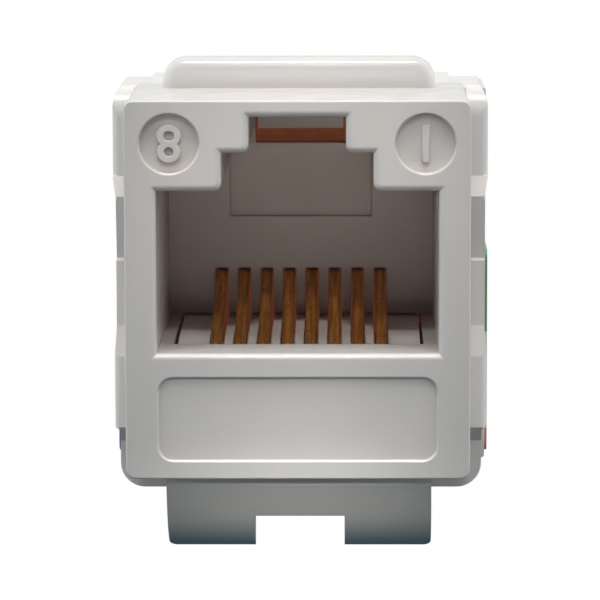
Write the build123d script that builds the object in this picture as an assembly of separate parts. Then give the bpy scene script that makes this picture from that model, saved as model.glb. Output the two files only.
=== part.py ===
from build123d import *
import math
import os

# Keystone jack, millimetres. X is to the right, +Y runs from the front face to the back, +Z is up.
# The origin is the centre of the front face. The clip slot of the port points up.

# Nose of the front housing, which passes through the panel: the walls round the port
side_wall = 1.33
bridge_t = 0.7
seat_y = 9.1
nose_corner_r = 0.38
face_edge_r = 0.08

# Plug port: the body of the hole and the two steps for the plug's clip
sill_h = 5.34
port_w = 11.84
port_h = 6.86
port_depth = 12.0
step_w = 6.35
step_h = 1.6
slot_w = 4.05
slot_h = 1.5
port_corner_r = 0.32
mouth_r = 0.26
back_wall_t = 1.2
clip_recess_depth = 0.3
clip_recess_sill = 4.4
key_window_drop = 0.77

# Round recesses at the upper corners of the face, and the marking field below the port
dial_r = 1.24
dial_depth = 0.3
dial_side_set = 1.89
dial_drop = 1.81
field_w = 11.7
field_h = 3.5
field_rise = 0.8
field_depth = 0.14
field_corner_r = 0.6
recess_edge = 0.07

# Fixed lug on top, which hooks behind the panel
lug_w = 11.75
lug_h = 1.31
panel_groove = 1.7
lug_t = 1.3
lug_side_r = 1.0
lug_front_r = 0.5

# Tongue of the front housing inside the skirt of the rear housing
tongue_drop = 1.1
tongue_below = 0.9
tongue_inset = 0.05
pocket_len = 1.3
tongue_wall = 0.8
hook_h = 1.8
hook_len = 1.7
hook_tip_set = 0.21
hook_setback = 1.9
hook_gap = 0.1

# Flexible latch under the nose
latch_w = 11.5
latch_root_w = 11.3
latch_root_y = 3.3
latch_root_drop = 0.4
latch_knuckle_r = 0.75
latch_knuckle_gap = 0.1
latch_reach = 4.3
latch_bulge = 0.45
latch_t = 1.2
latch_tip_t = 1.35
latch_tip_flat = 0.2
latch_corner_r = 0.35
latch_notch_w = 3.92
latch_notch_y = 4.0

# Contact carrier below the port
carrier_w = 10.45
carrier_sill_t = 1.1
carrier_front_y = 2.89
carrier_gap = 0.12
carrier_top_drop = 0.09
carrier_facet_len = 2.9
carrier_facet_drop = 0.3

# Spring contacts and their leads
contact_count = 8
contact_pitch = 1.016
wire_w = 0.48
wire_t = 0.32
wire_edge_r = 0.09
wire_gap = 0.07
comb_gap = 0.06
comb_top_gap = 0.1
comb_reach = 0.15
lead_front_t = 0.1
lead_cover = 0.9
short_lead_fall = 0.2
finger_drop = 0.29
finger_rise = 2.1
pivot_gap = 0.05
bend_r = 0.7
lead_stub = 0.5
groove_depth = 1.1

# Circuit board between the two housings
board_t = 1.6
board_gap = 0.1

# Rear housing: skirt, base and two columns of towers
skirt_top_t = 1.0
skirt_wall = 1.0
band_inset = 0.15
upper_pad_inset = 0.13
lower_pad_inset = 0.05
foot_inset = 0.24
skirt_foot = 1.2
fit_gap = 0.1
ear_front_set = 0.45
band_lean = 0.55
pad_front_set = 0.4
foot_front_set = 0.7
ear_h = 4.17
ear_drop = 0.25
ear_round_r = 1.3
ear_side_r = 0.3
ear_lean_h = 1.0
ear_lean = 0.32
ear_facet_h = 0.87
band_h = 2.8
upper_pad_h = 3.0
pad_facet_h = 1.35
lower_pad_h = 3.2
foot_corner_r = 1.1
strap_w = 13.3
strap_drop = 0.06
strap_past = 0.8
pocket_drop = 0.5
web_t = 0.7
base_len = 5.0
base_step = 0.16
base_corner_r = 0.15
block_top_drop = 0.9
channel_w = 7.0
channel_floor = 1.4
channel_wall = 1.0
key_side_gap = 0.115
key_t = 1.5
key_h = 1.29

tower_rows = 4
tower_in_set = 0.1
top_tooth_h = 1.6
bottom_tooth_h = 2.8
tower_len = 6.3
wire_slot_w = 0.9
wire_slot_floor = 0.6
tooth_point = 2.8
tooth_tip_w = 0.5

# Insulation-displacement clips
clip_t = 0.5
clip_w = 2.4
clip_gap = 0.06
clip_root = 3.4
clip_tip_set = 1.7
clip_slot_w = 0.36
clip_slot_len = 4.2
clip_mouth = 0.45
clip_tail_w = 0.7
clip_tail_past = 0.3

# Pull-off caps over the towers
cap_wall = 0.6
cap_top_drop = 0.6
cap_gap = 0.08
cap_rim_gap = 0.3
cap_back_t = 1.2
cap_tip_gap = 0.4
cap_notch_w = 1.4
cap_notch_len = 3.0
cap_edge_r = 0.55
cap_rib_t = 0.6
cap_rib_len = 2.4
grip_count = 3
grip_pitch = 1.0
grip_w = 0.5
grip_depth = 0.25
grip_end_set = 1.6
grip_back_set = 1.5

# Wiring labels on the sides of the base
label_t = 0.12
label_set = 0.25
label_h = 9.5
label_corner_r = 0.5

# How far a cut runs past a surface, and how near two places count as one
past = 1.0
near = 0.01

# Places worked out from the sizes above
nose_w = port_w + 2 * side_wall
nose_h = sill_h + port_h + step_h + slot_h + bridge_t
top_z = nose_h / 2
bottom_z = -nose_h / 2
floor_z = bottom_z + sill_h
ceiling_z = floor_z + port_h
step_z = ceiling_z + step_h
slot_z = step_z + slot_h
dial_x = nose_w / 2 - dial_side_set
dial_z = top_z - dial_drop
field_z = bottom_z + field_rise + field_h / 2
lug_back_y = seat_y - panel_groove
lug_front_y = lug_back_y - lug_t

tongue_half_w = nose_w / 2 - tongue_inset
tongue_top_z = top_z - tongue_drop
tongue_bottom_z = bottom_z - tongue_below
back_wall_y = port_depth + back_wall_t
tongue_end_y = back_wall_y + pocket_len

skirt_in_x = tongue_half_w + fit_gap
skirt_in_top = top_z - skirt_top_t
skirt_in_bottom = tongue_bottom_z - fit_gap
skirt_bottom_z = skirt_in_bottom - skirt_foot
pocket_top = skirt_in_top - pocket_drop
ear_x = skirt_in_x + skirt_wall
band_x = ear_x - band_inset
upper_pad_x = ear_x - upper_pad_inset
lower_pad_x = ear_x - lower_pad_inset
foot_x = ear_x - foot_inset
ear_y = seat_y + ear_front_set
foot_y = seat_y + foot_front_set
ear_top_z = top_z - ear_drop
strap_top_z = top_z - strap_drop
ear_low_z = top_z - ear_h
band_high_z = ear_low_z - ear_facet_h
band_low_z = band_high_z - band_h
upper_pad_low_z = band_low_z - upper_pad_h
lower_pad_high_z = upper_pad_low_z - pad_facet_h
lower_pad_low_z = lower_pad_high_z - lower_pad_h

hook_y = seat_y + hook_setback
hook_x = band_x - hook_tip_set
hook_z = band_high_z - band_h / 2

board_y = tongue_end_y + board_gap
board_back_y = board_y + board_t
strap_end_y = board_y + strap_past
base_front_y = board_back_y + board_gap
base_y = base_front_y + web_t
base_back_y = base_y + base_len
block_x = ear_x + base_step
block_top_z = top_z - block_top_drop

latch_root_z = bottom_z - latch_root_drop
latch_tip_z = bottom_z - latch_reach

carrier_top_z = floor_z - carrier_top_drop
carrier_bottom_z = bottom_z + carrier_sill_t
carrier_back_y = tongue_end_y - fit_gap

finger_z = floor_z - finger_drop
finger_y = carrier_front_y + lead_front_t + wire_t / 2 + bend_r
finger_run = port_depth - finger_y
finger_tip_len = back_wall_t + comb_reach
lead_rows = (finger_z - 2 * bend_r - short_lead_fall, carrier_bottom_z + lead_cover)
comb_slot_w = wire_w + 2 * comb_gap
groove_w = wire_w + 2 * wire_gap
board_hole_r = math.hypot(wire_w, wire_t) / 2 + wire_gap
tail_hole_r = math.hypot(clip_tail_w, clip_t) / 2 + fit_gap
contact_xs = [(i - (contact_count - 1) / 2) * contact_pitch for i in range(contact_count)]

cap_top_z = block_top_z - cap_top_drop
tower_top_z = cap_top_z - cap_wall - cap_gap
tower_bottom_z = skirt_bottom_z + cap_wall + cap_gap
tower_first_z = tower_top_z - top_tooth_h
tower_pitch = (tower_first_z - tower_bottom_z - bottom_tooth_h) / (tower_rows - 1)
tower_zs = [tower_first_z - i * tower_pitch for i in range(tower_rows)]
tower_in_x = channel_w / 2 + tower_in_set
tower_out_x = block_x - cap_wall - cap_gap
clip_x = (tower_in_x + tower_out_x) / 2
channel_y = base_y + channel_floor
key_w = slot_w - 2 * key_side_gap
tower_tip_y = base_back_y + tower_len
tooth_y = tower_tip_y - tooth_point
wire_floor_y = base_back_y + wire_slot_floor
clip_foot_y = base_back_y - clip_root
clip_tip_y = tower_tip_y - clip_tip_set

cap_rim_y = base_back_y + cap_rim_gap
cap_inner_y = tower_tip_y + cap_tip_gap
cap_back_y = cap_inner_y + cap_back_t


def block(x0, x1, y0, y1, z0, z1):
    """A box between two corners."""
    middle = Pos((x0 + x1) / 2, (y0 + y1) / 2, (z0 + z1) / 2)
    return middle * Box(x1 - x0, y1 - y0, z1 - z0)


def from_front(sketch, y0, y1):
    """A sketch drawn in X and Z, as seen from the front, pushed back from y0 to y1."""
    return extrude(Plane.XZ.offset(-y0) * sketch, amount=y0 - y1)


def from_side(sketch, x0, x1):
    """A sketch drawn in Y and Z, as seen from the side, pushed across from x0 to x1."""
    return extrude(Plane.YZ.offset(x0) * sketch, amount=x1 - x0)


def rectangle(x0, x1, z0, z1):
    """A rectangle between two corners of a sketch."""
    return Pos((x0 + x1) / 2, (z0 + z1) / 2) * Rectangle(x1 - x0, z1 - z0)


def outline(points):
    """A closed outline through points."""
    return make_face(Polyline(*points, close=True))


def both_sides(shape):
    """A shape and its mirror image on the other side of the middle."""
    return shape + mirror(shape, about=Plane.YZ)


def port_profile():
    """The stepped outline of the plug port, with its inward corners rounded."""
    body = rectangle(-port_w / 2, port_w / 2, floor_z, ceiling_z)
    step = rectangle(-step_w / 2, step_w / 2, ceiling_z - past, step_z)
    slot = rectangle(-slot_w / 2, slot_w / 2, step_z - past, slot_z)
    profile = body + step + slot
    shoulders = [
        v for v in profile.vertices()
        if (abs(abs(v.X) - step_w / 2) < near and abs(v.Y - ceiling_z) < near)
        or (abs(abs(v.X) - slot_w / 2) < near and abs(v.Y - step_z) < near)
    ]
    return fillet(shoulders, port_corner_r)


def nose():
    """The block that passes through the panel, with the port through its face."""
    shape = block(-nose_w / 2, nose_w / 2, 0, seat_y, bottom_z, top_z)
    shape = fillet(shape.edges().filter_by(Axis.Y), nose_corner_r)
    shape = fillet(shape.faces().sort_by(Axis.Y)[0].edges(), face_edge_r)
    return shape


def tongue():
    """The part of the front housing that goes into the skirt, open at the back for the board."""
    shape = block(-tongue_half_w, tongue_half_w, seat_y - past, tongue_end_y, tongue_bottom_z, tongue_top_z)
    shape -= block(-tongue_half_w - past, tongue_half_w + past, seat_y - 2 * past, seat_y,
                   tongue_bottom_z - past, bottom_z)
    hollow_half = tongue_half_w - tongue_wall
    shape -= block(-hollow_half, hollow_half, back_wall_y, tongue_end_y + past,
                   tongue_bottom_z + tongue_wall, tongue_top_z - tongue_wall)
    return shape


def snap_hook():
    """The wedge on the side of the tongue that holds the rear housing."""
    root_x = tongue_half_w - tongue_wall / 2
    back_y = hook_y + hook_len
    wedge = outline([
        (root_x, hook_y),
        (hook_x, hook_y),
        (hook_x, hook_y + hook_gap),
        (tongue_half_w, back_y),
        (root_x, back_y),
    ])
    return extrude(Plane.XY.offset(hook_z - hook_h / 2) * wedge, amount=hook_h)


def lug():
    """The fixed lug, with rounded shoulders and a rounded front edge."""
    shape = block(-lug_w / 2, lug_w / 2, lug_front_y, lug_back_y, top_z - past / 2, top_z + lug_h)
    shoulders = shape.edges().filter_by(Axis.Y).group_by(Axis.Z)[-1]
    shape = fillet(shoulders, lug_side_r)
    front = shape.faces().sort_by(Axis.Y)[0].edges()
    rounded = [e for e in front if e.center().Z > top_z and abs(abs(e.center().X) - lug_w / 2) > near]
    return fillet(rounded, lug_front_r)


def comb_slots():
    """The eight slots of the back wall, where the ends of the springs lie."""
    low = carrier_top_z - wire_t
    high = finger_z + finger_rise + wire_t / 2 + comb_top_gap
    slots = [block(x - comb_slot_w / 2, x + comb_slot_w / 2, port_depth - wire_t, back_wall_y + past, low, high)
             for x in contact_xs]
    return Part() + slots


def face_recess(sketch, depth):
    """The cutter of a shallow recess in the face, wider by a small bevel at its rim."""
    rim = from_front(offset(sketch, recess_edge), -past, 0)
    bevel = loft([Plane.XZ * offset(sketch, recess_edge), Plane.XZ.offset(-recess_edge) * sketch])
    return rim + bevel + from_front(sketch, 0, depth)


def front_housing():
    """The moulded front: nose, port, lug and tongue in one piece."""
    shape = nose() + tongue() + lug()
    shape -= from_front(port_profile(), -past, port_depth)
    rim = [e for e in shape.edges().filter_by(Plane.XZ) if abs(e.center().Y) < near
           and abs(e.center().X) < port_w / 2 + near and floor_z - near < e.center().Z < slot_z + near]
    shape = fillet(rim, mouth_r)
    shape += both_sides(snap_hook())
    for side in (-1, 1):
        shape -= face_recess(Pos(side * dial_x, dial_z) * Circle(dial_r), dial_depth)
    shape -= face_recess(Pos(0, field_z) * RectangleRounded(field_w, field_h, field_corner_r), field_depth)
    shape -= block(-step_w / 2, step_w / 2, port_depth - past, port_depth + clip_recess_depth,
                   floor_z + clip_recess_sill, step_z)
    shape -= block(-slot_w / 2, slot_w / 2, port_depth - past, tongue_end_y + past,
                   step_z - key_window_drop, top_z - skirt_top_t + fit_gap)
    half = carrier_w / 2 + carrier_gap
    shape -= block(-half, half, carrier_front_y - carrier_gap, tongue_end_y + past,
                   carrier_bottom_z - carrier_gap, floor_z)
    shape -= comb_slots()
    socket = Pos(latch_root_y, latch_root_z) * Circle(latch_knuckle_r + latch_knuckle_gap)
    shape -= from_side(socket, -latch_w / 2 - latch_knuckle_gap, latch_w / 2 + latch_knuckle_gap)
    return shape


def latch_side_profile():
    """The side view of the latch: root knuckle, curved arm and square catch."""
    corner_reach = latch_knuckle_r * math.sqrt(0.5)
    start = Vector(latch_root_y - corner_reach, latch_root_z - corner_reach)
    crest = Vector(lug_back_y - latch_tip_flat, latch_tip_z)
    along = (crest - start).normalized()
    outward = Vector(along.Y, -along.X)
    if outward.Y > 0:
        outward = outward * -1
    outer_mid = (start + crest) * 0.5 + outward * latch_bulge
    inner_start = start - outward * latch_t
    inner_end = Vector(lug_back_y, latch_tip_z + latch_tip_t)
    inner_mid = (inner_start + inner_end) * 0.5 + outward * latch_bulge
    corner = Vector(lug_back_y, latch_tip_z)
    edges = [
        ThreePointArc(start, outer_mid, crest),
        Line(crest, corner),
        Line(corner, inner_end),
        ThreePointArc(inner_end, inner_mid, inner_start),
        Line(inner_start, start),
    ]
    arm = make_face(edges)
    knuckle = Pos(latch_root_y, latch_root_z) * Circle(latch_knuckle_r)
    return arm + knuckle


def flex_latch():
    """The flexible latch, with a notch that parts its free end."""
    arm = from_side(latch_side_profile(), -latch_w / 2, latch_w / 2)
    silhouette = outline([
        (-latch_w / 2, latch_tip_z),
        (latch_w / 2, latch_tip_z),
        (latch_root_w / 2, bottom_z + past),
        (-latch_root_w / 2, bottom_z + past),
    ])
    low_corners = silhouette.vertices().group_by(Axis.Y)[0]
    silhouette = fillet(low_corners, latch_corner_r)
    arm = arm & from_front(silhouette, 0, seat_y)
    arm -= block(-latch_notch_w / 2, latch_notch_w / 2, latch_notch_y, seat_y, latch_tip_z - past, bottom_z)
    return arm


def wire_section():
    """The section of the contact wire, drawn about its middle."""
    return RectangleRounded(wire_w, wire_t, wire_edge_r)


def lead_path(i, free_turn):
    """A lead's middle line: over the front bend, down to its row, then straight back through the board."""
    x = contact_xs[i]
    low_z = lead_rows[i % 2]
    upper = Vector(x, finger_y, finger_z - bend_r)
    lower = Vector(x, finger_y, low_z + bend_r)
    half_turn = (free_turn + math.pi / 2) / 2
    top = upper + Vector(0, -math.sin(free_turn), math.cos(free_turn)) * bend_r
    upper_mid = upper + Vector(0, -math.sin(half_turn), math.cos(half_turn)) * bend_r
    lower_mid = lower + Vector(0, -math.sqrt(0.5), -math.sqrt(0.5)) * bend_r
    forward = Vector(0, -bend_r, 0)
    bottom = lower + Vector(0, 0, -bend_r)
    end = Vector(x, board_back_y + lead_stub, low_z)
    return Wire([
        ThreePointArc(top, upper_mid, upper + forward).edge(),
        Line(upper + forward, lower + forward).edge(),
        ThreePointArc(lower + forward, lower_mid, bottom).edge(),
        Line(bottom, end).edge(),
    ])


def contact_lead(i):
    """The fixed half of a contact wire, from the front bend to the circuit board."""
    path = lead_path(i, (wire_t / 2 + pivot_gap) / bend_r)
    section = Plane(origin=path @ 0, x_dir=(1, 0, 0), z_dir=path % 0) * wire_section()
    return sweep(section, path=path)


def contact_spring(i):
    """The springing half of a contact wire, from the front bend to its end in the comb."""
    x = contact_xs[i]
    start = Vector(x, finger_y, finger_z)
    corner = Vector(x, finger_y + finger_run, finger_z + finger_rise)
    along = (corner - start).normalized()
    section = Plane(origin=start, x_dir=(1, 0, 0), z_dir=along) * wire_section()
    finger = sweep(section, path=Line(start, corner))
    tip_line = Line(corner, corner + Vector(0, finger_tip_len, 0))
    tip = sweep(Plane(origin=corner, x_dir=(1, 0, 0), z_dir=(0, 1, 0)) * wire_section(), path=tip_line)
    half = (wire_w - wire_edge_r) / 2
    for place in (start, corner):
        tip += from_side(Pos(place.Y, place.Z) * Circle(wire_t / 2), x - half, x + half)
    return finger + tip


def lead_tunnel(i):
    """The room for one lead in the carrier, open at the carrier's front."""
    x = contact_xs[i]
    path = lead_path(i, 0)
    room = Rectangle(groove_w, wire_t + 2 * wire_gap)
    tunnel = sweep(Plane(origin=path @ 0, x_dir=(1, 0, 0), z_dir=path % 0) * room, path=path)
    back_y = finger_y - bend_r + wire_t / 2 + wire_gap
    return tunnel + block(x - groove_w / 2, x + groove_w / 2, carrier_front_y - past, back_y,
                          lead_rows[i % 2] + bend_r, carrier_top_z + past)


def contact_carrier():
    """The insert that holds the eight contact wires, grooved on top where the springs move."""
    side = outline([
        (carrier_front_y, carrier_bottom_z),
        (carrier_back_y, carrier_bottom_z),
        (carrier_back_y, carrier_top_z),
        (carrier_front_y + carrier_facet_len, carrier_top_z),
        (carrier_front_y, carrier_top_z - carrier_facet_drop),
    ])
    shape = from_side(side, -carrier_w / 2, carrier_w / 2)
    for i in range(contact_count):
        x = contact_xs[i]
        groove = block(x - groove_w / 2, x + groove_w / 2, carrier_front_y - past, carrier_back_y + past,
                       carrier_top_z - groove_depth, carrier_top_z + past)
        shape -= groove
        shape -= lead_tunnel(i)
    return shape


def circuit_board():
    """The board that joins the contact leads to the clips, with a hole for each."""
    half = skirt_in_x - fit_gap
    shape = block(-half, half, board_y, board_back_y, skirt_in_bottom + fit_gap, pocket_top - fit_gap)
    shape = fillet(shape.edges().filter_by(Axis.Y), nose_corner_r)
    for i in range(contact_count):
        hole = Pos(contact_xs[i], lead_rows[i % 2]) * Circle(board_hole_r)
        shape -= from_front(hole, board_y - past, board_back_y + past)
    for side in (-1, 1):
        for z in tower_zs:
            hole = Pos(side * clip_x, z) * Circle(tail_hole_r)
            shape -= from_front(hole, board_y - past, board_back_y + past)
    return shape


def skirt_front_profile():
    """Half of the skirt seen from the front: ear, band, two pads and foot, stepping in and out."""
    lean = TangentArc((ear_x, ear_top_z - ear_lean_h), (ear_x - ear_lean, ear_top_z), tangent=(0, 1))
    rest = Polyline(
        (ear_x - ear_lean, ear_top_z),
        (strap_w / 2, ear_top_z),
        (strap_w / 2, strap_top_z),
        (0, strap_top_z),
        (0, skirt_bottom_z),
        (foot_x, skirt_bottom_z),
        (foot_x, lower_pad_low_z - fit_gap),
        (lower_pad_x, lower_pad_low_z),
        (lower_pad_x, lower_pad_high_z),
        (upper_pad_x, upper_pad_low_z),
        (upper_pad_x, band_low_z - fit_gap),
        (band_x, band_low_z),
        (band_x, band_high_z),
        (ear_x, ear_low_z),
        (ear_x, ear_top_z - ear_lean_h),
    )
    return make_face(lean.edges() + rest.edges())


def skirt_side_profile():
    """The skirt seen from the side: the ear's round brow, the ridge below it and the sloped pads."""
    pad_y = seat_y + pad_front_set
    face = outline([
        (ear_y, ear_top_z),
        (ear_y, ear_low_z),
        (seat_y, band_high_z),
        (seat_y + band_lean, band_low_z),
        (pad_y, band_low_z - fit_gap),
        (pad_y, upper_pad_low_z),
        (seat_y, lower_pad_high_z),
        (seat_y, lower_pad_low_z),
        (foot_y, lower_pad_low_z - foot_front_set),
        (foot_y, skirt_bottom_z),
        (base_y, skirt_bottom_z),
        (base_y, ear_top_z),
    ])
    brow = face.vertices().sort_by_distance((ear_y, ear_top_z, 0))[0]
    return fillet(brow, ear_round_r)


def skirt_plan(front_y, z0, z1):
    """One level of the skirt seen from above, with its outer front corner rounded."""
    plan = outline([(0, front_y), (ear_x, front_y), (ear_x, base_y), (0, base_y)])
    corner = plan.vertices().sort_by_distance((ear_x, front_y, 0))[0]
    return extrude(Plane.XY.offset(z0) * fillet(corner, ear_side_r), amount=z1 - z0)


def skirt():
    """The thin-walled front of the rear housing, which wraps the tongue and stops against the panel."""
    half = from_front(skirt_front_profile(), seat_y, base_y)
    foot_edges = [e for e in half.edges().filter_by(Axis.Y)
                  if abs(e.center().X - foot_x) < near and abs(e.center().Z - skirt_bottom_z) < near]
    half = fillet(foot_edges, foot_corner_r)
    plan = skirt_plan(seat_y, skirt_bottom_z, ear_low_z) + skirt_plan(ear_y, ear_low_z, top_z)
    wall = half & from_side(skirt_side_profile(), skirt_in_x, ear_x + past) & plan
    middle = half & block(0, skirt_in_x, seat_y, base_y, skirt_bottom_z - past, top_z + past)
    shape = both_sides(wall + middle)
    shape -= block(-skirt_in_x, skirt_in_x, seat_y - past, foot_y, skirt_bottom_z - past, skirt_in_top)
    shape -= block(-skirt_in_x, skirt_in_x, seat_y - past, board_y, skirt_in_bottom, skirt_in_top)
    shape -= block(-skirt_in_x, skirt_in_x, board_y - past, base_front_y, skirt_in_bottom, pocket_top)
    shape -= block(-ear_x - past, ear_x + past, strap_end_y, base_y + past, block_top_z, top_z + past)
    return shape


def hook_windows():
    """The windows in the skirt that the snap hooks fill."""
    window = block(skirt_in_x - past, ear_x + past, hook_y - hook_gap, hook_y + hook_len + 2 * hook_gap,
                   hook_z - hook_h / 2 - hook_gap, hook_z + hook_h / 2 + hook_gap)
    return both_sides(window)


def tooth_outline():
    """One column of towers from the side: pointed teeth with a wire slot between each two."""
    half_slot = wire_slot_w / 2
    points = [(base_back_y - past, tower_top_z), (tooth_y, tower_top_z)]
    upper = tower_top_z
    for z in tower_zs:
        lower = z + half_slot
        points += tooth_tip(upper, lower, first=upper == tower_top_z)
        points += [(wire_floor_y, z + half_slot), (wire_floor_y, z - half_slot)]
        upper = z - half_slot
    points += tooth_tip(upper, tower_bottom_z, last=True)
    points += [(base_back_y - past, tower_bottom_z)]
    return outline(points)


def tooth_tip(upper, lower, first=False, last=False):
    """The points of one tooth's tip, flat on the outer side of the first and last tooth."""
    half_tip = tooth_tip_w / 2
    if first:
        return [(tower_tip_y, upper - half_tip), (tower_tip_y, upper - half_tip - tooth_tip_w),
                (tooth_y, lower)]
    if last:
        return [(tooth_y, upper), (tower_tip_y, lower + half_tip + tooth_tip_w),
                (tower_tip_y, lower + half_tip), (tooth_y, lower)]
    middle = (upper + lower) / 2
    return [(tooth_y, upper), (tower_tip_y, middle + half_tip), (tower_tip_y, middle - half_tip),
            (tooth_y, lower)]


def clip_pocket(z):
    """The slit that holds one clip and the hole for its tail."""
    half_t = clip_t / 2 + clip_gap
    half_w = clip_w / 2 + clip_gap
    tail = clip_tail_w / 2 + clip_gap
    slit = block(clip_x - half_t, clip_x + half_t, clip_foot_y - clip_gap, tower_tip_y + past,
                 z - half_w, z + half_w)
    hole = block(clip_x - half_t, clip_x + half_t, base_front_y - past, clip_foot_y,
                 z - tail, z + tail)
    return slit + hole


def terminal_block():
    """The rear housing: skirt, base and the two columns of towers in one moulding."""
    base = block(-block_x, block_x, base_y, base_back_y, skirt_bottom_z, block_top_z)
    base = fillet(base.edges().filter_by(Axis.Y), base_corner_r)
    column = from_side(tooth_outline(), tower_in_x, tower_out_x)
    for z in tower_zs:
        column -= clip_pocket(z)
        base -= clip_pocket(z)
        base -= mirror(clip_pocket(z), about=Plane.YZ)
    shape = skirt() - hook_windows()
    for z in tower_zs:
        shape -= both_sides(clip_pocket(z))
    shape += base + both_sides(column)
    shape -= block(-channel_w / 2, channel_w / 2, channel_y, base_back_y + past,
                   skirt_bottom_z + channel_wall, block_top_z - channel_wall)
    key_z = skirt_in_top - key_h
    shape += block(-key_w / 2, key_w / 2, port_depth, port_depth + key_t, key_z, skirt_in_top + past / 2)
    rows_low = lead_rows[1] - 2 * wire_t
    rows_high = lead_rows[0] + 2 * wire_t
    rows_half = contact_xs[-1] + wire_w
    shape -= block(-rows_half, rows_half, base_front_y - past, board_back_y + lead_stub + 2 * fit_gap,
                   rows_low, rows_high)
    return shape


def idc_clip(x, z):
    """A forked contact clip: two blades with a slot between them, and a tail through the board."""
    half = clip_w / 2
    slot = clip_slot_w / 2
    tail = clip_tail_w / 2
    slot_y = clip_tip_y - clip_slot_len
    tail_y = board_y - clip_tail_past
    mouth_y = clip_tip_y - clip_mouth
    right = [
        (tail_y, tail), (clip_foot_y, tail), (clip_foot_y, half), (mouth_y, half),
        (clip_tip_y, half - clip_mouth / 2), (clip_tip_y, slot + clip_mouth), (mouth_y, slot), (slot_y, slot),
    ]
    left = [(y, -z_half) for y, z_half in reversed(right)]
    blade = outline(right + left)
    return Pos(0, 0, z) * from_side(blade, x - clip_t / 2, x + clip_t / 2)


def wire_cap():
    """The right cap: a shell over one column of towers, notched where the wires leave."""
    inner_x = tower_in_x - cap_gap - cap_wall
    shape = block(inner_x, block_x, cap_rim_y, cap_back_y, skirt_bottom_z, cap_top_z)
    shape = fillet(shape.edges().filter_by(Axis.Y), nose_corner_r)
    shape = fillet(shape.faces().sort_by(Axis.Y)[-1].edges(), cap_edge_r)
    shape -= block(tower_in_x - cap_gap, tower_out_x + cap_gap, cap_rim_y - past, cap_inner_y,
                   tower_bottom_z - cap_gap, tower_top_z + cap_gap)
    for z in tower_zs:
        length = cap_notch_len + cap_notch_w / 2
        slot = SlotOverall(length + cap_notch_w, cap_notch_w)
        notch = Pos(cap_rim_y + length / 2 - cap_notch_w / 2, z) * slot
        shape -= from_side(notch, inner_x - past, block_x + past)
        for x0, x1 in ((tower_in_x - cap_gap, clip_x - clip_t), (clip_x + clip_t, tower_out_x + cap_gap)):
            shape += block(x0, x1, cap_inner_y - cap_rib_len, cap_inner_y, z - cap_rib_t / 2, z + cap_rib_t / 2)
    for i in range(grip_count):
        y = cap_back_y - grip_back_set - i * grip_pitch
        shape -= block(block_x - grip_depth, block_x + past, y - grip_w / 2, y + grip_w / 2,
                       skirt_bottom_z + grip_end_set, cap_top_z - grip_end_set)
    return shape


def wiring_label():
    """The right label, a thin sheet with rounded corners on the side of the base."""
    middle = Pos((base_y + base_back_y) / 2, skirt_bottom_z + label_set + label_h / 2)
    face = middle * RectangleRounded(base_len - 2 * label_set, label_h, label_corner_r)
    return from_side(face, block_x, block_x + label_t)


def build():
    """Every piece of the jack, by name."""
    parts = {
        "front_housing": front_housing(),
        "flex_latch": flex_latch(),
        "contact_carrier": contact_carrier(),
        "circuit_board": circuit_board(),
        "terminal_block": terminal_block(),
        "wire_cap_right": wire_cap(),
        "wire_cap_left": mirror(wire_cap(), about=Plane.YZ),
        "wiring_label_right": wiring_label(),
        "wiring_label_left": mirror(wiring_label(), about=Plane.YZ),
    }
    for i in range(contact_count):
        parts[f"contact_spring_{i + 1}"] = contact_spring(i)
        parts[f"contact_lead_{i + 1}"] = contact_lead(i)
    for i, z in enumerate(tower_zs):
        parts[f"idc_clip_left_{i + 1}"] = idc_clip(-clip_x, z)
        parts[f"idc_clip_right_{i + 1}"] = idc_clip(clip_x, z)
    return parts


os.makedirs("parts", exist_ok=True)
for name, shape in build().items():
    export_step(shape, f"parts/{name}.step")
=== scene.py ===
import math

import bpy
from mathutils import Matrix, Vector


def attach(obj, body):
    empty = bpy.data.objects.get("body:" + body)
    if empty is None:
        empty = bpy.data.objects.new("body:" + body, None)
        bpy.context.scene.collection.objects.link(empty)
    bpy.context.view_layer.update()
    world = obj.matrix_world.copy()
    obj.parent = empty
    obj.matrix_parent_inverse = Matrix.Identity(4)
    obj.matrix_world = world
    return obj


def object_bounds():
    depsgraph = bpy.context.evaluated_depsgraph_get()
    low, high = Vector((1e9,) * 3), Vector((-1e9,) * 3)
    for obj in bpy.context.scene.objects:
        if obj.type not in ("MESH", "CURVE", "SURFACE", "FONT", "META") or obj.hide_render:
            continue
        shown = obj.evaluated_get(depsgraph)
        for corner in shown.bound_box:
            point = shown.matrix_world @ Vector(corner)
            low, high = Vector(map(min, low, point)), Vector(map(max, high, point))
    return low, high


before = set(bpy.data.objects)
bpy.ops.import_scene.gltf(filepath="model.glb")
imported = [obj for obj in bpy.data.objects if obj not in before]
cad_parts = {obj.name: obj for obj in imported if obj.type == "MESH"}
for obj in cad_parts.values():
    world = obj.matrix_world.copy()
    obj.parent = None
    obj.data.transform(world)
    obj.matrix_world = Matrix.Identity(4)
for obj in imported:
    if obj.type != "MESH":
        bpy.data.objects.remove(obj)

CAD_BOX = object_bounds()
MM = 0.001

# The camera, in millimetres and degrees, placed by the converging edges of the port in the photograph
CAMERA_PLACE = (2.12, -156.9, 21.87)
CAMERA_YAW = 0.736
CAMERA_PITCH = -8.066
CAMERA_ROLL = -0.131
SENSOR_MM = 36.0
LENS_MM = 227.03
CLIP_NEAR_M = 0.005
CLIP_FAR_M = 20.0

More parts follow.
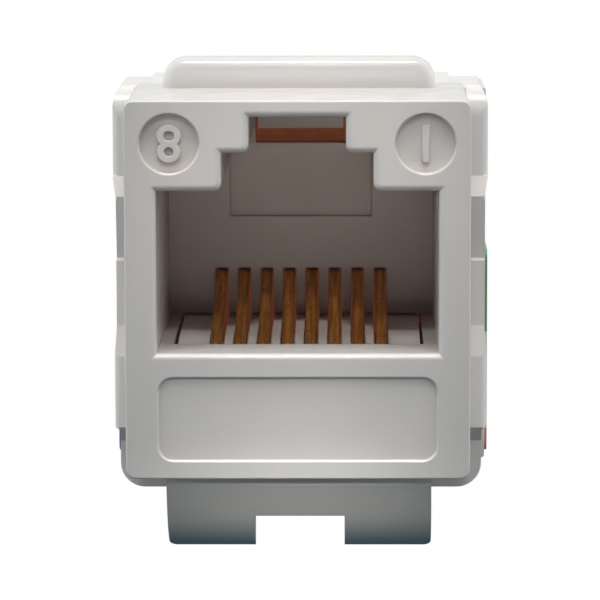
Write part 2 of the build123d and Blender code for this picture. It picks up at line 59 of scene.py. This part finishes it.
# The numerals in the round recesses, in millimetres: places from the build, sizes from the photograph
DIAL_X = 5.36
DIAL_Z = 6.19
DIAL_FLOOR_Y = 0.3
NUMERAL_H = 1.62
NUMERAL_RISE = 0.16
NUMERAL_SINK = 0.02
NUMERAL_ROUND = 0.03
NUMERAL_SWELL = 0.012
FONT_SIZE_PER_HEIGHT = 1.35
ROUND_STEPS = 2
CURVE_STEPS = 8

# The floor lies a hair below the latch, in millimetres, and reaches past the picture, in metres
FLOOR_DROP = 0.15
FLOOR_SIZE = 3.0

# Shader samples for softened edges and for the shade in nooks
EDGE_SAMPLES = 6
NOOK_SAMPLES = 8

# Moulded plastic, in millimetres: edge radius, reach of the two painted shades, heights of grain and waves
PLASTIC_EDGE = 0.05
NEAR_NOOK = 1.6
DEEP_NOOK = 9.0
GRAIN_RISE = 0.0012
WAVE_RISE = 0.003
PLASTIC_IOR = 1.49

# A plastic's satin goes this far below and above its roughness
SMOOTHER = 0.02
ROUGHER = 0.03

# Between these heights, in millimetres, painted shade darkens the latch's tip
TIP_TOP_Z = -10.3
TIP_LOW_Z = -12.6


def rgb(r, g, b):
    return (r, g, b, 1.0)


class Nodes:
    """A node tree, with short calls for the nodes used here."""

    def __init__(self, tree):
        self.tree = tree

    def add(self, kind, **settings):
        node = self.tree.nodes.new(kind)
        for key, value in settings.items():
            setattr(node, key, value)
        return node

    def join(self, source, socket):
        self.tree.links.new(source, socket)

    def put(self, value, socket):
        """Links a socket or sets a plain value."""
        if isinstance(value, bpy.types.NodeSocket):
            self.join(value, socket)
        else:
            socket.default_value = value

    def axes(self, vector):
        """The X, Y and Z of a vector."""
        node = self.add("ShaderNodeSeparateXYZ")
        self.join(vector, node.inputs[0])
        return node.outputs["X"], node.outputs["Y"], node.outputs["Z"]

    def math(self, operation, a, b=0.0):
        node = self.add("ShaderNodeMath", operation=operation)
        self.put(a, node.inputs[0])
        self.put(b, node.inputs[1])
        return node.outputs[0]

    def ranged(self, value, low, high, to_low=0.0, to_high=1.0, smooth=False):
        node = self.add("ShaderNodeMapRange")
        if smooth:
            node.interpolation_type = "SMOOTHSTEP"
        self.put(value, node.inputs["Value"])
        for name, number in (("From Min", low), ("From Max", high), ("To Min", to_low), ("To Max", to_high)):
            node.inputs[name].default_value = number
        return node.outputs["Result"]

    def mixed(self, factor, a, b, blend="MIX"):
        node = self.add("ShaderNodeMix", data_type="RGBA", blend_type=blend)
        self.put(factor, node.inputs["Factor"])
        for name, value in (("A", a), ("B", b)):
            socket = next(s for s in node.inputs if s.name == name and s.type == "RGBA")
            self.put(value, socket)
        return next(s for s in node.outputs if s.type == "RGBA")

    def ramp(self, value, stops):
        node = self.add("ShaderNodeValToRGB")
        self.join(value, node.inputs["Fac"])
        elements = node.color_ramp.elements
        elements[0].position, elements[0].color = stops[0]
        elements[1].position, elements[1].color = stops[-1]
        for position, colour in stops[1:-1]:
            elements.new(position).color = colour
        return node.outputs["Color"]


class Look(Nodes):
    """A material's node tree. Its coordinates and distances are in millimetres."""

    def __init__(self, name):
        self.material = bpy.data.materials.new(name)
        self.material.use_nodes = True
        super().__init__(self.material.node_tree)
        self.shader = self.tree.nodes["Principled BSDF"]
        coords = self.add("ShaderNodeTexCoord").outputs["Object"]
        self.coords = self.scaled(coords, (1 / MM, 1 / MM, 1 / MM))

    def scaled(self, vector, factors):
        node = self.add("ShaderNodeVectorMath", operation="MULTIPLY")
        self.put(vector, node.inputs[0])
        node.inputs[1].default_value = factors
        return node.outputs[0]

    def noise(self, scale, detail=2.0, roughness=0.5, stretch=(1, 1, 1)):
        node = self.add("ShaderNodeTexNoise")
        self.join(self.scaled(self.coords, stretch), node.inputs["Vector"])
        node.inputs["Scale"].default_value = scale
        node.inputs["Detail"].default_value = detail
        node.inputs["Roughness"].default_value = roughness
        return node.outputs["Fac"]

    def threads(self, axis, scale):
        """Straight bands across one axis."""
        node = self.add("ShaderNodeTexWave", bands_direction=axis)
        self.join(self.coords, node.inputs["Vector"])
        node.inputs["Scale"].default_value = scale
        return node.outputs["Fac"]

    def bump(self, height, rise, under=None):
        node = self.add("ShaderNodeBump")
        self.put(height, node.inputs["Height"])
        node.inputs["Distance"].default_value = rise * MM
        node.inputs["Strength"].default_value = 1.0
        if under is not None:
            self.join(under, node.inputs["Normal"])
        return node.outputs["Normal"]

    def rounded(self, radius):
        """The normal with every edge softened by that radius."""
        node = self.add("ShaderNodeBevel", samples=EDGE_SAMPLES)
        node.inputs["Radius"].default_value = radius * MM
        return node.outputs["Normal"]

    def painted_shade_mask(self, distance):
        """A mask for painted shade: one in corners and slots, none in the open."""
        node = self.add("ShaderNodeAmbientOcclusion", samples=NOOK_SAMPLES)
        node.inputs["Distance"].default_value = distance * MM
        return self.ranged(node.outputs["AO"], 0.0, 1.0, to_low=1.0, to_high=0.0)

    def stained_or_shaded(self, colour, tone, where, low, high, amount=1.0, blend="MIX"):
        """Brings a tone in as a mask rises from low to high, up to that amount: a stain, or painted shade where
        the mask is a shade mask.
        """
        return self.mixed(self.ranged(where, low, high, to_high=amount), colour, tone, blend=blend)

    def edged(self, colour, tone, soft, amount, sharp=0.85):
        """Brings a tone in along edges, where the softened normal leaves the plain one."""
        plain = self.add("ShaderNodeNewGeometry").outputs["Normal"]
        dot = self.add("ShaderNodeVectorMath", operation="DOT_PRODUCT")
        self.join(soft, dot.inputs[0])
        self.join(plain, dot.inputs[1])
        mask = self.ranged(dot.outputs["Value"], 1.0, sharp, smooth=True)
        return self.mixed(self.math("MULTIPLY", mask, amount), colour, tone)

    def finish(self, colour, roughness, normal, **fixed):
        """Feeds the shader. What is fixed is set on its socket directly."""
        self.put(colour, self.shader.inputs["Base Color"])
        self.put(roughness, self.shader.inputs["Roughness"])
        self.put(normal, self.shader.inputs["Normal"])
        for name, value in fixed.items():
            self.shader.inputs[name].default_value = value
        return self.material


# Painted shade: warm tones multiplied in deep in the port and in the insert, and a dark bluish tone at the
# latch's tip
DEEP_PAINTED_SHADE = rgb(0.90, 0.75, 0.72)
INSERT_DEEP_PAINTED_SHADE = rgb(1.0, 0.93, 0.91)
TIP_PAINTED_SHADE = rgb(0.27, 0.48, 0.60)
EDGE_TONE = rgb(0.95, 0.95, 0.94)


def moulded_plastic(name, light, shade, painted_corner_shade, roughness, deep_painted_shade=DEEP_PAINTED_SHADE, tip_painted_shade=None):
    """Satin moulded plastic: fine tool grain, faint flow clouds, soft edges, painted warm shade in the nooks
    and deep in the port.

    A tip shade is painted shade that darkens what lies lowest, at the latch's thin tip."""
    t = Look(name)
    clouds = t.noise(scale=0.22, detail=3.0, stretch=(1, 0.6, 1))
    colour = t.stained_or_shaded(light, shade, clouds, low=0.35, high=0.65)
    # Painted shade: a warm tone near corners, and a warm darkening deep in the port
    colour = t.stained_or_shaded(colour, painted_corner_shade, t.painted_shade_mask(NEAR_NOOK), low=0.2, high=0.95, amount=0.5)
    colour = t.stained_or_shaded(colour, deep_painted_shade, t.painted_shade_mask(DEEP_NOOK), low=0.4, high=0.95, blend="MULTIPLY")
    # Painted shade: the latch's tip goes darker and bluer towards the bottom
    if tip_painted_shade is not None:
        height = t.axes(t.coords)[2]
        tip_shade_mask = t.ranged(height, TIP_TOP_Z, TIP_LOW_Z, smooth=True)
        colour = t.mixed(tip_shade_mask, colour, tip_painted_shade, blend="MULTIPLY")
    soft = t.rounded(PLASTIC_EDGE)
    colour = t.edged(colour, EDGE_TONE, soft, amount=0.25)
    grain = t.noise(scale=14.0, detail=3.0, roughness=0.6)
    waves = t.noise(scale=0.5, detail=1.0)
    normal = t.bump(grain, GRAIN_RISE, under=t.bump(waves, WAVE_RISE, under=soft))
    patches = t.noise(scale=1.2, detail=1.0)
    satin = t.ranged(patches, 0.3, 0.7, to_low=roughness - SMOOTHER, to_high=roughness + ROUGHER)
    return t.finish(colour, satin, normal, IOR=PLASTIC_IOR)


GOLD_BRIGHT = rgb(0.98, 0.43, 0.095)
GOLD_DEEP = rgb(0.60, 0.23, 0.04)
GOLD_TARNISH = rgb(0.50, 0.22, 0.07)
# Painted shade: near-black edges stand in for the wire's dark side reflections, and a dark tone for the shade
# in its nooks
GOLD_PAINTED_EDGE_SHADE = rgb(0.07, 0.03, 0.012)
GOLD_PAINTED_CORNER_SHADE = rgb(0.10, 0.045, 0.03)
GOLD_SPECK = rgb(0.09, 0.045, 0.025)


def contact_gold():
    """Gold-flashed wire: drawn streaks along its length, painted dark edges for the dark reflection off its
    rounded sides, dark specks, a little tarnish, and painted shade in the nooks.
    """
    t = Look("contact_gold")
    streaks = t.noise(scale=7.0, detail=2.0, stretch=(1, 0.04, 0.06))
    specks = t.noise(scale=6.0, detail=3.0, roughness=0.7)
    tarnish = t.noise(scale=0.7, detail=2.0)
    colour = t.stained_or_shaded(GOLD_BRIGHT, GOLD_DEEP, streaks, low=0.35, high=0.65)
    colour = t.stained_or_shaded(colour, GOLD_TARNISH, tarnish, low=0.5, high=0.75, amount=0.4)
    soft = t.rounded(radius=0.12)
    # Painted reflection: the edges go near black where the rounded wire reflects dark surroundings
    colour = t.edged(colour, GOLD_PAINTED_EDGE_SHADE, soft, amount=0.95, sharp=0.9)
    # Painted shade in the slots and corners around the wire
    colour = t.stained_or_shaded(colour, GOLD_PAINTED_CORNER_SHADE, t.painted_shade_mask(distance=0.9), low=0.3, high=0.65, amount=0.9)
    colour = t.stained_or_shaded(colour, GOLD_SPECK, specks, low=0.60, high=0.67, amount=0.8)
    normal = t.bump(streaks, rise=0.01, under=soft)
    dulled = t.ranged(specks, 0.4, 0.7, to_low=0.28, to_high=0.42)
    return t.finish(colour, dulled, normal, Metallic=0.75)


TIN_BRIGHT = rgb(0.74, 0.73, 0.70)
TIN_DULL = rgb(0.52, 0.50, 0.47)
TIN_EDGE = rgb(0.78, 0.56, 0.40)


def clip_tin():
    """Tinned strip: bright flats with soft rolled streaks, and bronze showing at the sheared edges."""
    t = Look("clip_tin")
    rolled = t.noise(scale=5.0, detail=3.0, stretch=(1, 0.1, 1))
    clouds = t.noise(scale=1.2, detail=3.0)
    colour = t.stained_or_shaded(TIN_BRIGHT, TIN_DULL, clouds, low=0.35, high=0.7)
    soft = t.rounded(radius=0.05)
    colour = t.edged(colour, TIN_EDGE, soft, amount=0.4)
    normal = t.bump(rolled, rise=0.006, under=soft)
    dulled = t.ranged(rolled, 0.3, 0.7, to_low=0.29, to_high=0.42)
    return t.finish(colour, dulled, normal, Metallic=1.0)


THREAD_DARK = rgb(0.52, 0.27, 0.10)
THREAD_LIGHT = rgb(0.58, 0.31, 0.12)
RESIN_DARK = rgb(0.36, 0.16, 0.06)
# Painted light: the colour and strength of the board's faint glow
BOARD_PAINTED_GLOW = rgb(1.0, 0.30, 0.17)
BOARD_PAINTED_GLOW_STRENGTH = 0.07
THREAD_SCALE = 2.2


def board_laminate():
    """Amber glass laminate: a fine weave under lacquer, with a faint painted glow as if lit through."""
    t = Look("board_laminate")
    weave = t.math("ADD", t.threads("X", THREAD_SCALE), t.threads("Z", THREAD_SCALE))
    clouds = t.noise(scale=1.0, detail=3.0)
    colour = t.stained_or_shaded(THREAD_DARK, THREAD_LIGHT, weave, low=0.4, high=1.6)
    colour = t.stained_or_shaded(colour, RESIN_DARK, clouds, low=0.4, high=0.7, amount=0.5)
    normal = t.bump(weave, rise=0.01, under=t.rounded(radius=0.06))
    # Painted light: a faint glow standing in for light scattered into the board's deep slot
    t.shader.inputs["Emission Color"].default_value = BOARD_PAINTED_GLOW
    t.shader.inputs["Emission Strength"].default_value = BOARD_PAINTED_GLOW_STRENGTH
    lacquer = t.ranged(t.noise(scale=3.0), 0.3, 0.7, to_low=0.3, to_high=0.5)
    return t.finish(colour, lacquer, normal)


FILM_WHITE = rgb(0.86, 0.86, 0.84)
FILM_FIBRE = rgb(0.55, 0.53, 0.50)
FILM_EDGE = rgb(0.80, 0.79, 0.76)


def label_film(name, fields):
    """Printed film: fields of colour on white, with paper grain under the ink.

    A field is its lowest and highest Z, its first and last Y, and its ink."""
    t = Look(name)
    along, height = t.axes(t.coords)[1:]
    colour = FILM_WHITE
    for low, high, front, back, ink in fields:
        inside = t.math("MULTIPLY", t.math("GREATER_THAN", height, low), t.math("LESS_THAN", height, high))
        inside = t.math("MULTIPLY", inside, t.math("GREATER_THAN", along, front))
        inside = t.math("MULTIPLY", inside, t.math("LESS_THAN", along, back))
        colour = t.mixed(inside, colour, ink)
    fibres = t.noise(scale=11.0, detail=4.0, roughness=0.7)
    colour = t.stained_or_shaded(colour, FILM_FIBRE, fibres, low=0.45, high=0.75, amount=0.18)
    colour = t.edged(colour, FILM_EDGE, t.rounded(radius=0.06), amount=0.5)
    sheen = t.ranged(t.noise(scale=2.0), 0.3, 0.7, to_low=0.32, to_high=0.46)
    return t.finish(colour, sheen, t.bump(fibres, rise=0.006))


WHITE_PLASTIC = moulded_plastic("housing_plastic", light=rgb(0.735, 0.74, 0.745), shade=rgb(0.71, 0.717, 0.725),
                                painted_corner_shade=rgb(0.62, 0.55, 0.50), roughness=0.22)
# The latch is a slightly lighter copy of the housing plastic as painted light, with painted shade at its tip
LATCH_PLASTIC_PAINTED = moulded_plastic("latch_plastic_painted_light", light=rgb(0.75, 0.75, 0.74), shade=rgb(0.72, 0.72, 0.715),
                                painted_corner_shade=rgb(0.62, 0.55, 0.50), roughness=0.22, tip_painted_shade=TIP_PAINTED_SHADE)
# Painted light: the terminal block is a lighter copy of the housing plastic, standing in for light shining
# through its thin walls
LIT_BLOCK_PLASTIC = moulded_plastic("block_plastic_painted_light", light=rgb(0.84, 0.84, 0.83), shade=rgb(0.81, 0.812, 0.81),
                                painted_corner_shade=rgb(0.68, 0.61, 0.56), roughness=0.24)
CAP_PLASTIC = moulded_plastic("cap_plastic", light=rgb(0.82, 0.82, 0.81), shade=rgb(0.80, 0.803, 0.80),
                              painted_corner_shade=rgb(0.66, 0.60, 0.55), roughness=0.33)
# The insert gets a lighter painted shade deep in the port
INSERT_PLASTIC = moulded_plastic("insert_plastic", light=rgb(0.92, 0.91, 0.89), shade=rgb(0.88, 0.865, 0.84),
                                 painted_corner_shade=rgb(0.70, 0.63, 0.58), roughness=0.36, deep_painted_shade=INSERT_DEEP_PAINTED_SHADE)
GOLD = contact_gold()
TIN = clip_tin()

GREEN = rgb(0.10, 0.42, 0.16)
PINK = rgb(0.72, 0.20, 0.22)
VIOLET = rgb(0.24, 0.20, 0.55)
BLUE = rgb(0.08, 0.22, 0.55)
ORANGE = rgb(0.80, 0.32, 0.06)
BROWN = rgb(0.26, 0.13, 0.06)
RIGHT_FIELDS = [
    (-4.3, -0.4, 17.0, 22.0, GREEN), (-6.4, -4.6, 17.7, 19.4, ORANGE), (-6.4, -4.6, 19.7, 21.3, BROWN),
    (-8.4, -6.7, 17.7, 19.4, BLUE), (-8.4, -6.7, 19.7, 21.3, GREEN), (-10.0, -8.7, 17.0, 22.0, PINK),
]
LEFT_FIELDS = [
    (-3.2, -0.4, 17.0, 22.0, ORANGE), (-5.4, -3.5, 17.7, 19.4, GREEN), (-5.4, -3.5, 19.7, 21.3, BLUE),
    (-8.4, -5.7, 17.7, 19.4, BROWN), (-8.4, -5.7, 19.7, 21.3, ORANGE), (-10.0, -8.7, 17.0, 22.0, VIOLET),
]
MATERIALS = {
    "front_housing": WHITE_PLASTIC, "flex_latch": LATCH_PLASTIC_PAINTED, "terminal_block": LIT_BLOCK_PLASTIC,
    "contact_carrier": INSERT_PLASTIC, "circuit_board": board_laminate(),
    "wire_cap_left": CAP_PLASTIC, "wire_cap_right": CAP_PLASTIC,
    "wiring_label_left": label_film("label_film_left", LEFT_FIELDS),
    "wiring_label_right": label_film("label_film_right", RIGHT_FIELDS),
}


def dress_frame():
    """Gives every CAD piece its material."""
    for name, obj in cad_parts.items():
        if name.startswith(("contact_lead", "contact_spring")):
            material = GOLD
        elif name.startswith("idc_clip"):
            material = TIN
        else:
            material = MATERIALS[name]
        for place in obj.material_slots:
            place.material = material
        if not obj.material_slots:
            obj.data.materials.append(material)


def numeral(name, digit, x):
    """A raised numeral on the floor of a round recess, upside down like the jack's own marking."""
    curve = bpy.data.curves.new(name + "_curve", "FONT")
    curve.body = digit
    curve.align_x = "CENTER"
    curve.align_y = "CENTER"
    curve.size = NUMERAL_H * FONT_SIZE_PER_HEIGHT
    curve.extrude = (NUMERAL_RISE + NUMERAL_SINK) / 2
    curve.bevel_depth = NUMERAL_ROUND
    curve.bevel_resolution = ROUND_STEPS
    curve.offset = NUMERAL_SWELL
    curve.resolution_u = CURVE_STEPS
    text = bpy.data.objects.new(name + "_text", curve)
    bpy.context.scene.collection.objects.link(text)
    bpy.context.view_layer.update()
    mesh = bpy.data.meshes.new_from_object(text.evaluated_get(bpy.context.evaluated_depsgraph_get()))
    bpy.data.objects.remove(text)
    depth = DIAL_FLOOR_Y + (NUMERAL_SINK - NUMERAL_RISE) / 2
    lows = [min(v.co[i] for v in mesh.vertices) for i in range(3)]
    highs = [max(v.co[i] for v in mesh.vertices) for i in range(3)]
    centre = Matrix.Translation([-(a + b) / 2 for a, b in zip(lows, highs)])
    stand = Matrix.Rotation(math.radians(90), 4, "X") @ Matrix.Rotation(math.radians(180), 4, "Z")
    mesh.transform(Matrix.Scale(MM, 4) @ Matrix.Translation((x, depth, DIAL_Z)) @ stand @ centre)
    piece = bpy.data.objects.new(name, mesh)
    bpy.context.scene.collection.objects.link(piece)
    mesh.materials.clear()
    mesh.materials.append(WHITE_PLASTIC)
    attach(piece, "housing")


def floor():
    """A plain floor that glows white and neither lights nor shades the jack."""
    material = bpy.data.materials.new("floor_white")
    material.use_nodes = True
    t = Nodes(material.node_tree)
    t.tree.nodes.clear()
    glow = t.add("ShaderNodeEmission")
    glow.inputs["Color"].default_value = rgb(1, 1, 1)
    t.join(glow.outputs[0], t.add("ShaderNodeOutputMaterial").inputs["Surface"])
    low_z = CAD_BOX[0][2] - FLOOR_DROP * MM
    half = FLOOR_SIZE / 2
    mesh = bpy.data.meshes.new("floor")
    corners = [(-half, -half, low_z), (half, -half, low_z), (half, half, low_z), (-half, half, low_z)]
    mesh.from_pydata(corners, [], [(0, 1, 2, 3)])
    mesh.materials.append(material)
    plane = bpy.data.objects.new("floor", mesh)
    bpy.context.scene.collection.objects.link(plane)
    plane.visible_diffuse = False
    plane.visible_glossy = False
    plane.visible_transmission = False
    plane.visible_shadow = False


# The light from each side by height, from straight down at 0 over the horizon at 0.5 to straight up at 1
SIDE_RAMP = [
    (0.0, rgb(0.010, 0.030, 0.040)), (0.33, rgb(0.03, 0.05, 0.06)), (0.50, rgb(1.22, 1.21, 1.19)),
    (0.70, rgb(1.05, 1.05, 1.03)), (1.0, rgb(0.25, 0.25, 0.25)),
]
FRONT_RAMP = [
    (0.0, rgb(0.005, 0.020, 0.030)), (0.16, rgb(0.01, 0.025, 0.035)), (0.34, rgb(0.09, 0.10, 0.10)),
    (0.50, rgb(0.13, 0.13, 0.13)), (0.62, rgb(0.13, 0.13, 0.13)), (0.80, rgb(0.18, 0.18, 0.19)),
    (1.0, rgb(0.30, 0.30, 0.30)),
]
BACK_RAMP = [
    (0.0, rgb(0.010, 0.030, 0.040)), (0.35, rgb(0.05, 0.07, 0.08)), (0.60, rgb(0.55, 0.55, 0.55)),
    (1.0, rgb(0.62, 0.62, 0.62)),
]

# The light goes over from front to back by the direction's Y, and to the sides by the size of its X
FRONT_TO_BACK = (-0.35, 0.25)
TO_SIDES = (0.40, 0.8)

# It weakens towards the camera, between these values of the direction's Y
DIM_FROM_Y = -0.5
DIM_TO_Y = -1.0
FULL_STRENGTH = 1.3
DIM_STRENGTH = 0.2


def studio():
    """Soft light all round: bright from the sides, fair from behind, dim from the front, dark below.

    The camera itself sees plain white."""
    world = bpy.data.worlds.new("studio")
    bpy.context.scene.world = world
    world.use_nodes = True
    t = Nodes(world.node_tree)
    t.tree.nodes.clear()
    x, y, z = t.axes(t.add("ShaderNodeTexCoord").outputs["Generated"])
    height = t.ranged(z, -1.0, 1.0)
    backness = t.ranged(y, *FRONT_TO_BACK, smooth=True)
    sideness = t.ranged(t.math("ABSOLUTE", x), *TO_SIDES, smooth=True)
    sky = t.mixed(backness, t.ramp(height, FRONT_RAMP), t.ramp(height, BACK_RAMP))
    sky = t.mixed(sideness, sky, t.ramp(height, SIDE_RAMP))
    lit = t.add("ShaderNodeBackground")
    t.join(sky, lit.inputs["Color"])
    strength = t.ranged(y, DIM_FROM_Y, DIM_TO_Y, FULL_STRENGTH, DIM_STRENGTH, smooth=True)
    t.join(strength, lit.inputs["Strength"])
    seen = t.add("ShaderNodeBackground")
    seen.inputs["Color"].default_value = rgb(1, 1, 1)
    choice = t.add("ShaderNodeMixShader")
    t.join(t.add("ShaderNodeLightPath").outputs["Is Camera Ray"], choice.inputs["Fac"])
    t.join(lit.outputs[0], choice.inputs[1])
    t.join(seen.outputs[0], choice.inputs[2])
    t.join(choice.outputs[0], t.add("ShaderNodeOutputWorld").inputs["Surface"])


def hang(name, light, place, target):
    """Puts a light at a place and aims it at another, in metres."""
    obj = bpy.data.objects.new(name, light)
    bpy.context.scene.collection.objects.link(obj)
    obj.location = place
    aim = Vector(target) - Vector(place)
    obj.rotation_euler = aim.to_track_quat("-Z", "Y").to_euler()
    return obj


def area_light(name, place, target, size, watts, colour):
    """A rectangular soft light."""
    light = bpy.data.lights.new(name, "AREA")
    light.shape = "RECTANGLE"
    light.size, light.size_y = size
    light.energy = watts
    light.color = colour
    hang(name, light, place, target).visible_camera = False


def spot_light(name, place, target, degrees, size, watts, colour):
    """A narrow soft pool of light."""
    light = bpy.data.lights.new(name, "SPOT")
    light.energy = watts
    light.color = colour
    light.spot_size = math.radians(degrees)
    light.spot_blend = 1.0
    light.shadow_soft_size = size
    hang(name, light, place, target)


def camera():
    """The camera of the photograph."""
    yaw, pitch, roll = (math.radians(a) for a in (CAMERA_YAW, CAMERA_PITCH, CAMERA_ROLL))
    right = Vector((math.cos(yaw), math.sin(yaw), 0.0))
    ahead = Vector((-math.sin(yaw) * math.cos(pitch), math.cos(yaw) * math.cos(pitch), math.sin(pitch)))
    up = right.cross(ahead)
    right, up = right * math.cos(roll) + up * math.sin(roll), up * math.cos(roll) - right * math.sin(roll)
    place = Vector(CAMERA_PLACE) * MM
    matrix = Matrix([
        (right.x, up.x, -ahead.x, place.x),
        (right.y, up.y, -ahead.y, place.y),
        (right.z, up.z, -ahead.z, place.z),
        (0.0, 0.0, 0.0, 1.0),
    ])
    data = bpy.data.cameras.new("photo_camera")
    data.sensor_width = SENSOR_MM
    data.lens = LENS_MM
    data.clip_start = CLIP_NEAR_M
    data.clip_end = CLIP_FAR_M
    obj = bpy.data.objects.new("photo_camera", data)
    bpy.context.scene.collection.objects.link(obj)
    obj.matrix_world = matrix
    bpy.context.scene.camera = obj


dress_frame()
numeral("dial_number_left", "8", -DIAL_X)
numeral("dial_number_right", "1", DIAL_X)
floor()
studio()
area_light("key", place=(0.0, -0.08, 0.30), target=(0, 0.005, 0), size=(0.16, 0.10),
           watts=0.57, colour=(1.0, 0.95, 0.89))
spot_light("slot_glow", place=(0.0, -0.15, -0.005), target=(0.0, 0.002, 0.0048), degrees=4.0, size=0.008,
           watts=0.105, colour=(1.0, 0.86, 0.74))
spot_light("port_glow", place=(0.0, -0.11, 0.11), target=(0.0, 0.004, -0.002), degrees=4.8, size=0.008,
           watts=0.80, colour=(1.0, 0.93, 0.86))
spot_light("latch_glow", place=(0.0, -0.15, 0.028), target=(0.0, 0.004, -0.0150), degrees=4.1, size=0.006,
           watts=1.6, colour=(1.0, 0.95, 0.86))
camera()
bpy.context.scene.view_settings.view_transform = "Standard"
